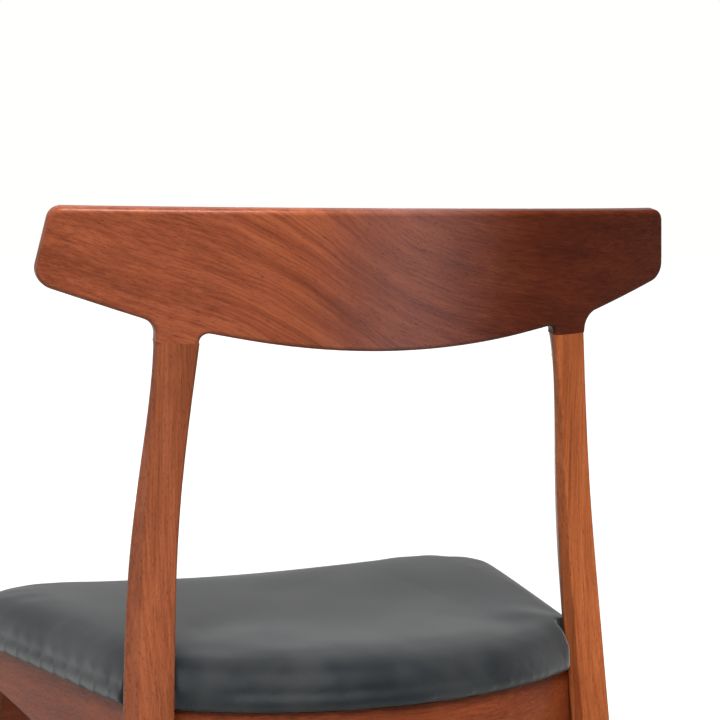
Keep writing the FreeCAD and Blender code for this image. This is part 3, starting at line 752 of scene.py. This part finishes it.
    def swell(self, pad: bpy.types.Object) -> None:
        """Blows the pad up as cloth held at its band, each point moving no further than travel."""
        start = points_of(pad.data)
        height = start[:, 2] - self.low.z
        held = pad.vertex_groups.new(name="held")
        held.add(np.nonzero(height < self.band)[0].tolist(), 1.0, "REPLACE")
        cloth = pad.modifiers.new("swell", "CLOTH")
        cloth.settings.vertex_group_mass = "held"
        cloth.settings.use_pressure = True
        cloth.settings.uniform_pressure_force = self.pressure
        cloth.settings.effector_weights.gravity = 0.0
        cloth.settings.quality = 4
        for frame in range(1, 21):
            bpy.context.scene.frame_set(frame)
        self.keep(pad)
        bpy.context.scene.frame_set(1)
        moved = points_of(pad.data) - start
        size = np.linalg.norm(moved, axis=1, keepdims=True)
        moved *= np.minimum(1.0, self.travel / np.maximum(size, 1e-9))
        pad.data.vertices.foreach_set("co", (start + moved).ravel())

    def upholster(self, pad: bpy.types.Object) -> None:
        """Tucks the leather in above the board, puckers the roll, and presses the top into a dish.

        The tuck is a bell round the band's height. The puckers are sums of sines round the pad,
        strongest a third of the way up. The dish is a bell in X and Y over the front middle, and
        the sides rise a little between the front corner and the leg.
        """
        points = points_of(pad.data)
        height = points[:, 2] - self.low.z
        flat = points[:, :2] - self.middle
        distance = np.maximum(np.linalg.norm(flat, axis=1), 1e-6)
        way = flat / distance[:, None]
        angle = np.arctan2(flat[:, 1], flat[:, 0])
        reach = np.interp(angle % (2 * math.pi), np.arange(self.turns) * 2 * math.pi / self.turns, self.full,
                          period=2 * math.pi)
        near_wall = np.clip(1.0 - (reach - distance) / (22 * MM), 0.0, 1.0)
        ripple = np.sin(angle * 23 + 1.1) * 0.5 + np.sin(angle * 37 + 0.4) * 0.35 + np.sin(angle * 61) * 0.2
        inward = self.tuck * hump(height, self.band + 1.5 * MM, 2.4 * MM)
        inward += self.pucker * ripple * hump(height, 17 * MM, 6 * MM)
        points[:, :2] -= way * (inward * near_wall)[:, None]
        top = np.clip((height - 24 * MM) / (10 * MM), 0.0, 1.0)
        front = self.low.y
        bowl = hump(points[:, 0], 0.0, 0.105) * hump(points[:, 1], front + 0.06, 0.17)
        shoulder = hump(points[:, 1], front, 0.05)
        side = np.clip((np.abs(points[:, 0]) - 0.11) / 0.07, 0.0, 1.0)
        side *= hump(points[:, 1], front + 0.20, 0.15)
        points[:, 2] += top * (self.side_lift * side - self.dish * bowl - 2.2 * MM * shoulder)
        pad.data.vertices.foreach_set("co", points.ravel())
        pad.data.update()

    def dust_cloth(self) -> bpy.types.Object:
        """A cloth under the board: rings inside the outline, sagging a little at the middle.

        Returns:
            The cloth.
        """
        angles = np.arange(self.turns) * 2 * math.pi / self.turns
        way = np.stack([np.cos(angles), np.sin(angles)], -1)
        edge = self.reach - self.cloth_inset
        shares = np.linspace(0.02, 1.0, 24)
        sag = -self.cloth_sag * (1 - shares**2)
        level = self.low.z - self.cloth_gap
        rings = [
            np.column_stack([way * (edge * share)[:, None] + self.middle, np.full(self.turns, level + drop)])
            for share, drop in zip(shares, sag)
        ]
        points = np.concatenate(rings + [np.array([(*self.middle, level - self.cloth_sag)])])
        quads = turned_grid(len(shares), self.turns)[:, ::-1]
        here = np.arange(self.turns)
        fan = np.stack([np.full(self.turns, len(shares) * self.turns), (here + 1) % self.turns, here], -1)
        mesh = bpy.data.meshes.new("dust_cloth")
        mesh.from_pydata(points.tolist(), [], quads.tolist() + fan.tolist())
        cloth = bpy.data.objects.new("dust_cloth", mesh)
        bpy.context.collection.objects.link(cloth)
        thick = cloth.modifiers.new("thickness", "SOLIDIFY")
        thick.thickness = 0.25 * MM
        cloth.data.materials.append(Woven().build())
        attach(cloth, "root")
        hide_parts("seat_dust_cloth")
        return cloth

    def build(self) -> None:
        """Makes the pad and the cloth under it."""
        pad = self.surface()
        self.remesh(pad)
        self.swell(pad)
        self.calm(pad)
        self.upholster(pad)
        self.clear_legs(pad)
        smooth = pad.modifiers.new("smooth", "SUBSURF")
        smooth.levels = smooth.render_levels = 1
        pad.data.materials.append(Leather().build())
        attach(pad, "root")
        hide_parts("seat_cover", "seat_foam")
        LOG.info("seat_pad: %d faces", len(pad.data.polygons))
        self.dust_cloth()
        LOG.info("dust_cloth made")


# ------------------------------------------------------------------ studio
@dataclass
class Studio:
    """A pale floor, soft lights and the camera."""

    lens: float = 94.37
    place: tuple[float, float, float] = (0.53186, 1.16964, 0.33022)
    look: tuple[float, float, float] = (-0.3882, -0.9190, -0.0696)
    ambient: float = 0.36
    far: float = 0.62
    key: float = 4.4
    spread: float = 64.0

    def build(self, seat_rear: float, seat_base: float) -> None:
        """Makes floor, lights, world and camera.

        Args:
            seat_rear: Y of the middle of the seat's rear edge.
            seat_base: height of the seat's underside.
        """
        self.floor()
        self.lights()
        camera = bpy.data.objects.new("camera", bpy.data.cameras.new("camera"))
        bpy.context.collection.objects.link(camera)
        camera.data.lens = self.lens
        camera.data.sensor_width = 36.0
        camera.data.clip_end = 200.0
        x, y, z = self.place
        camera.location = (x, y + seat_rear, z + seat_base)
        camera.rotation_mode = "QUATERNION"
        camera.rotation_quaternion = Vector(self.look).to_track_quat("-Z", "Y")
        bpy.context.scene.camera = camera

    def floor(self) -> None:
        """A wide pale floor."""
        half = 40.0
        mesh = bpy.data.meshes.new("floor")
        corners = [(-half, -half, 0), (half, -half, 0), (half, half, 0), (-half, half, 0)]
        mesh.from_pydata(corners, [], [(0, 1, 2, 3)])
        floor = bpy.data.objects.new("floor", mesh)
        bpy.context.collection.objects.link(floor)
        graph = Graph("floor_pale")
        _, y, _ = graph.position()
        beyond = (y * -1.0).step(0.4, 1.4) * 0.6 + (y * -1.0).step(2.2, 4.2) * 0.4
        floor.data.materials.append(graph.finish({
            "Base Color": (0.72, 0.72, 0.70, 1.0), "Roughness": 0.9,
            "Emission Color": (1.0, 1.0, 0.98, 1.0), "Emission Strength": beyond,
        }))

    def lights(self) -> None:
        """A pale surround, a wide panel beyond the chair's front, and a soft key high on its left."""
        view = bpy.context.scene.view_settings
        view.view_transform = "Standard"
        view.look = "None"
        world = bpy.data.worlds.new("surround")
        bpy.context.scene.world = world
        world.use_nodes = True
        tree = world.node_tree
        glow = tree.nodes["Background"]
        glow.inputs["Color"].default_value = (1.0, 1.0, 0.99, 1.0)
        where = tree.nodes.new("ShaderNodeTexCoord")
        toward = tree.nodes.new("ShaderNodeVectorMath")
        toward.operation = "DOT_PRODUCT"
        toward.inputs[1].default_value = (0.75, -0.35, 0.56)
        fall = tree.nodes.new("ShaderNodeMapRange")
        fall.interpolation_type = "SMOOTHSTEP"
        limits = {"From Min": -0.6, "From Max": 0.8, "To Min": 0.05, "To Max": self.ambient}
        for name, value in limits.items():
            fall.inputs[name].default_value = value
        tree.links.new(where.outputs["Generated"], toward.inputs[0])
        tree.links.new(toward.outputs["Value"], fall.inputs["Value"])
        tree.links.new(fall.outputs[0], glow.inputs["Strength"])
        seen = tree.nodes.new("ShaderNodeBackground")
        seen.inputs["Color"].default_value = (1.0, 1.0, 0.99, 1.0)
        path = tree.nodes.new("ShaderNodeLightPath")
        mix = tree.nodes.new("ShaderNodeMixShader")
        tree.links.new(path.outputs["Is Camera Ray"], mix.inputs[0])
        tree.links.new(glow.outputs[0], mix.inputs[1])
        tree.links.new(seen.outputs[0], mix.inputs[2])
        tree.links.new(mix.outputs[0], tree.nodes["World Output"].inputs[0])
        self.panel("panel_far", (-1.3, -3.6, 1.5), (0.0, 0.0, 0.5), 4.5, self.far, 180.0)
        self.panel("panel_key", (0.62, 1.75, 2.95), (0.0, 0.1, 0.6), 1.5, self.key, self.spread)

    def panel(self, name: str, place: tuple, target: tuple, size: float, glow: float, spread: float) -> None:
        """Adds a square soft light.

        Args:
            name: its name.
            place: where it stands.
            target: the point it faces.
            size: its side.
            glow: how bright its face is; a white wall in plain daylight is about 1.
            spread: the angle that it lights, in degrees.
        """
        data = bpy.data.lights.new(name, "AREA")
        data.size = size
        data.energy = size**2 * math.pi * glow
        data.spread = math.radians(spread)
        light = bpy.data.objects.new(name, data)
        bpy.context.collection.objects.link(light)
        light.location = place
        light.rotation_mode = "QUATERNION"
        light.rotation_quaternion = (Vector(target) - Vector(place)).to_track_quat("-Z", "Y")


def main() -> None:
    """Builds the chair's looks in order and reports each piece."""
    logging.basicConfig(level=logging.INFO, format="%(message)s")
    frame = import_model()
    chair = ChairFrame(frame["nodes"])
    chair.build()
    SeatPad(frame["nodes"]).build()
    low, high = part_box("seat_cover")
    Studio().build(high.y, low.z)
    bpy.context.view_layer.update()


if __name__ == "__main__":
    main()
